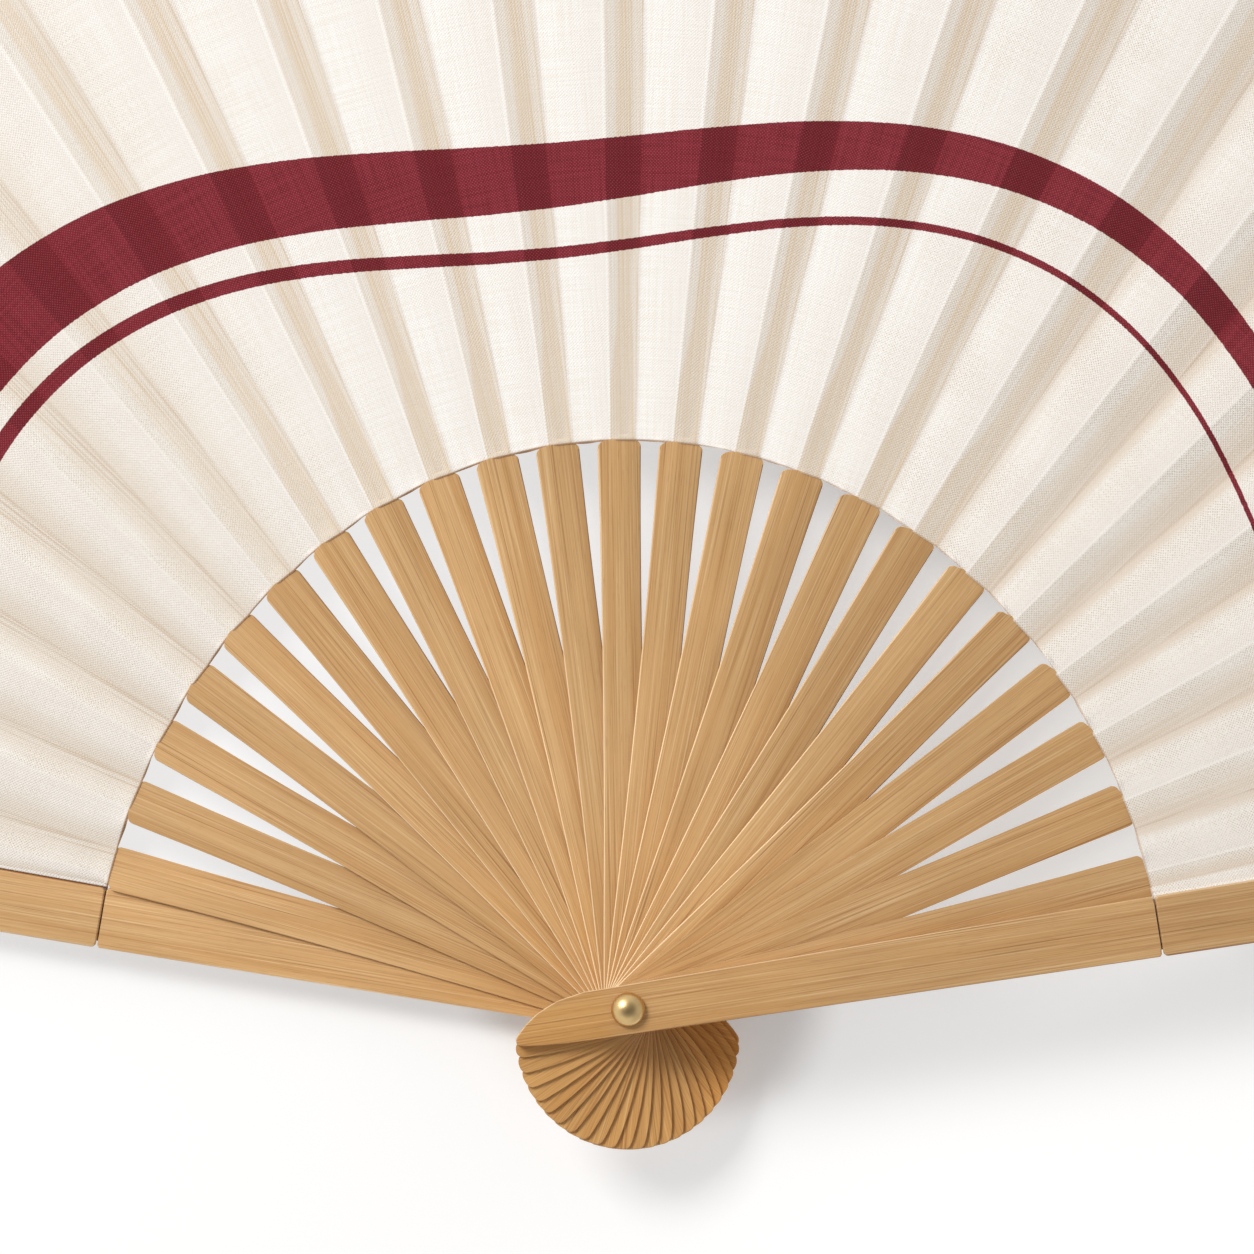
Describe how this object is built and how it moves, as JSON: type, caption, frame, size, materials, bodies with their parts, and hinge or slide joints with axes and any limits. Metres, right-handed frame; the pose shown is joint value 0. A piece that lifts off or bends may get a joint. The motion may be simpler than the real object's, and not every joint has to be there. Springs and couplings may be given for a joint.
{
  "type": "folding fan",
  "caption": "Open folding fan: flat wooden ribs between two guards, stacked on a brass rivet, carry a pleated printed cloth leaf that folds shut with them.",
  "frame": {"origin": "centre of the rivet's flat rear face, on the rivet's axis", "axes": "+Z along the rivet's axis towards the fan's front, +X from the back guard's side to the front guard's side, +Y up the middle of the open leaf"},
  "size_m": [0.4149, 0.231, 0.0249],
  "materials": {
    "guard_wood": "sanded light bamboo, satin, fine lengthwise grain",
    "slat_wood": "sanded light bamboo, satin, fine lengthwise grain",
    "rib_wood": "sanded light bamboo, satin, fine lengthwise grain",
    "leaf_cloth": "matt woven cream cloth with a burgundy print",
    "rivet_brass": "satin brass"
  },
  "bodies": {
    "back_guard": {"back_guard": "guard_wood", "back_guard_slat": "slat_wood", "rivet_pin": "rivet_brass", "rivet_washer": "rivet_brass", "leaf_pleat_01": "leaf_cloth"},
    "rib_01": {"rib_01": "rib_wood", "leaf_pleat_02": "leaf_cloth"},
    "rib_02": {"rib_02": "rib_wood", "leaf_pleat_03": "leaf_cloth"},
    "rib_03": {"rib_03": "rib_wood", "leaf_pleat_04": "leaf_cloth"},
    "rib_04": {"rib_04": "rib_wood", "leaf_pleat_05": "leaf_cloth"},
    "rib_05": {"rib_05": "rib_wood", "leaf_pleat_06": "leaf_cloth"},
    "rib_06": {"rib_06": "rib_wood", "leaf_pleat_07": "leaf_cloth"},
    "rib_07": {"rib_07": "rib_wood", "leaf_pleat_08": "leaf_cloth"},
    "rib_08": {"rib_08": "rib_wood", "leaf_pleat_09": "leaf_cloth"},
    "rib_09": {"rib_09": "rib_wood", "leaf_pleat_10": "leaf_cloth"},
    "rib_10": {"rib_10": "rib_wood", "leaf_pleat_11": "leaf_cloth"},
    "rib_11": {"rib_11": "rib_wood", "leaf_pleat_12": "leaf_cloth"},
    "rib_12": {"rib_12": "rib_wood", "leaf_pleat_13": "leaf_cloth"},
    "rib_13": {"rib_13": "rib_wood", "leaf_pleat_14": "leaf_cloth"},
    "rib_14": {"rib_14": "rib_wood", "leaf_pleat_15": "leaf_cloth"},
    "rib_15": {"rib_15": "rib_wood", "leaf_pleat_16": "leaf_cloth"},
    "rib_16": {"rib_16": "rib_wood", "leaf_pleat_17": "leaf_cloth"},
    "rib_17": {"rib_17": "rib_wood", "leaf_pleat_18": "leaf_cloth"},
    "rib_18": {"rib_18": "rib_wood", "leaf_pleat_19": "leaf_cloth"},
    "rib_19": {"rib_19": "rib_wood", "leaf_pleat_20": "leaf_cloth"},
    "rib_20": {"rib_20": "rib_wood", "leaf_pleat_21": "leaf_cloth"},
    "rib_21": {"rib_21": "rib_wood", "leaf_pleat_22": "leaf_cloth"},
    "rib_22": {"rib_22": "rib_wood", "leaf_pleat_23": "leaf_cloth"},
    "rib_23": {"rib_23": "rib_wood", "leaf_pleat_24": "leaf_cloth"},
    "front_guard": {"front_guard": "guard_wood", "front_guard_slat": "slat_wood"}
  },
  "joints": [
    {"name": "fold_01", "type": "hinge", "parent": "back_guard", "child": "rib_01", "pos_m": [0, 0, 0], "axis": [0, 0, 1], "range_deg": [0, 5.5], "deforming": ["leaf_pleat_01"]},
    {"name": "fold_02", "type": "hinge", "parent": "rib_01", "child": "rib_02", "pos_m": [0, 0, 0], "axis": [0, 0, 1], "range_deg": [0, 7.56], "deforming": ["leaf_pleat_02"]},
    {"name": "fold_03", "type": "hinge", "parent": "rib_02", "child": "rib_03", "pos_m": [0, 0, 0], "axis": [0, 0, 1], "range_deg": [0, 7.31], "deforming": ["leaf_pleat_03"]},
    {"name": "fold_04", "type": "hinge", "parent": "rib_03", "child": "rib_04", "pos_m": [0, 0, 0], "axis": [0, 0, 1], "range_deg": [0, 7.09], "deforming": ["leaf_pleat_04"]},
    {"name": "fold_05", "type": "hinge", "parent": "rib_04", "child": "rib_05", "pos_m": [0, 0, 0], "axis": [0, 0, 1], "range_deg": [0, 6.89], "deforming": ["leaf_pleat_05"]},
    {"name": "fold_06", "type": "hinge", "parent": "rib_05", "child": "rib_06", "pos_m": [0, 0, 0], "axis": [0, 0, 1], "range_deg": [0, 6.72], "deforming": ["leaf_pleat_06"]},
    {"name": "fold_07", "type": "hinge", "parent": "rib_06", "child": "rib_07", "pos_m": [0, 0, 0], "axis": [0, 0, 1], "range_deg": [0, 6.58], "deforming": ["leaf_pleat_07"]},
    {"name": "fold_08", "type": "hinge", "parent": "rib_07", "child": "rib_08", "pos_m": [0, 0, 0], "axis": [0, 0, 1], "range_deg": [0, 6.47], "deforming": ["leaf_pleat_08"]},
    {"name": "fold_09", "type": "hinge", "parent": "rib_08", "child": "rib_09", "pos_m": [0, 0, 0], "axis": [0, 0, 1], "range_deg": [0, 6.38], "deforming": ["leaf_pleat_09"]},
    {"name": "fold_10", "type": "hinge", "parent": "rib_09", "child": "rib_10", "pos_m": [0, 0, 0], "axis": [0, 0, 1], "range_deg": [0, 6.32], "deforming": ["leaf_pleat_10"]},
    {"name": "fold_11", "type": "hinge", "parent": "rib_10", "child": "rib_11", "pos_m": [0, 0, 0], "axis": [0, 0, 1], "range_deg": [0, 6.29], "deforming": ["leaf_pleat_11"]},
    {"name": "fold_12", "type": "hinge", "parent": "rib_11", "child": "rib_12", "pos_m": [0, 0, 0], "axis": [0, 0, 1], "range_deg": [0, 6.28], "deforming": ["leaf_pleat_12"]},
    {"name": "fold_13", "type": "hinge", "parent": "rib_12", "child": "rib_13", "pos_m": [0, 0, 0], "axis": [0, 0, 1], "range_deg": [0, 6.31], "deforming": ["leaf_pleat_13"]},
    {"name": "fold_14", "type": "hinge", "parent": "rib_13", "child": "rib_14", "pos_m": [0, 0, 0], "axis": [0, 0, 1], "range_deg": [0, 6.35], "deforming": ["leaf_pleat_14"]},
    {"name": "fold_15", "type": "hinge", "parent": "rib_14", "child": "rib_15", "pos_m": [0, 0, 0], "axis": [0, 0, 1], "range_deg": [0, 6.43], "deforming": ["leaf_pleat_15"]},
    {"name": "fold_16", "type": "hinge", "parent": "rib_15", "child": "rib_16", "pos_m": [0, 0, 0], "axis": [0, 0, 1], "range_deg": [0, 6.53], "deforming": ["leaf_pleat_16"]},
    {"name": "fold_17", "type": "hinge", "parent": "rib_16", "child": "rib_17", "pos_m": [0, 0, 0], "axis": [0, 0, 1], "range_deg": [0, 6.66], "deforming": ["leaf_pleat_17"]},
    {"name": "fold_18", "type": "hinge", "parent": "rib_17", "child": "rib_18", "pos_m": [0, 0, 0], "axis": [0, 0, 1], "range_deg": [0, 6.82], "deforming": ["leaf_pleat_18"]},
    {"name": "fold_19", "type": "hinge", "parent": "rib_18", "child": "rib_19", "pos_m": [0, 0, 0], "axis": [0, 0, 1], "range_deg": [0, 7], "deforming": ["leaf_pleat_19"]},
    {"name": "fold_20", "type": "hinge", "parent": "rib_19", "child": "rib_20", "pos_m": [0, 0, 0], "axis": [0, 0, 1], "range_deg": [0, 7.21], "deforming": ["leaf_pleat_20"]},
    {"name": "fold_21", "type": "hinge", "parent": "rib_20", "child": "rib_21", "pos_m": [0, 0, 0], "axis": [0, 0, 1], "range_deg": [0, 7.45], "deforming": ["leaf_pleat_21"]},
    {"name": "fold_22", "type": "hinge", "parent": "rib_21", "child": "rib_22", "pos_m": [0, 0, 0], "axis": [0, 0, 1], "range_deg": [0, 7.72], "deforming": ["leaf_pleat_22"]},
    {"name": "fold_23", "type": "hinge", "parent": "rib_22", "child": "rib_23", "pos_m": [0, 0, 0], "axis": [0, 0, 1], "range_deg": [0, 8.01], "deforming": ["leaf_pleat_23"]},
    {"name": "fold_24", "type": "hinge", "parent": "rib_23", "child": "front_guard", "pos_m": [0, 0, 0], "axis": [0, 0, 1], "range_deg": [0, 5.5], "deforming": ["leaf_pleat_24"]}
  ],
  "couplings": [
    {"joint": "fold_02", "follows": "fold_01", "ratio": 1.3741},
    {"joint": "fold_03", "follows": "fold_01", "ratio": 1.3288},
    {"joint": "fold_04", "follows": "fold_01", "ratio": 1.2885},
    {"joint": "fold_05", "follows": "fold_01", "ratio": 1.253},
    {"joint": "fold_06", "follows": "fold_01", "ratio": 1.2225},
    {"joint": "fold_07", "follows": "fold_01", "ratio": 1.1969},
    {"joint": "fold_08", "follows": "fold_01", "ratio": 1.1762},
    {"joint": "fold_09", "follows": "fold_01", "ratio": 1.1605},
    {"joint": "fold_10", "follows": "fold_01", "ratio": 1.1496},
    {"joint": "fold_11", "follows": "fold_01", "ratio": 1.1437},
    {"joint": "fold_12", "follows": "fold_01", "ratio": 1.1427},
    {"joint": "fold_13", "follows": "fold_01", "ratio": 1.1466},
    {"joint": "fold_14", "follows": "fold_01", "ratio": 1.1554},
    {"joint": "fold_15", "follows": "fold_01", "ratio": 1.1691},
    {"joint": "fold_16", "follows": "fold_01", "ratio": 1.1878},
    {"joint": "fold_17", "follows": "fold_01", "ratio": 1.2114},
    {"joint": "fold_18", "follows": "fold_01", "ratio": 1.2399},
    {"joint": "fold_19", "follows": "fold_01", "ratio": 1.2733},
    {"joint": "fold_20", "follows": "fold_01", "ratio": 1.3116},
    {"joint": "fold_21", "follows": "fold_01", "ratio": 1.3549},
    {"joint": "fold_22", "follows": "fold_01", "ratio": 1.403},
    {"joint": "fold_23", "follows": "fold_01", "ratio": 1.4561},
    {"joint": "fold_24", "follows": "fold_01", "ratio": 1}
  ]
}
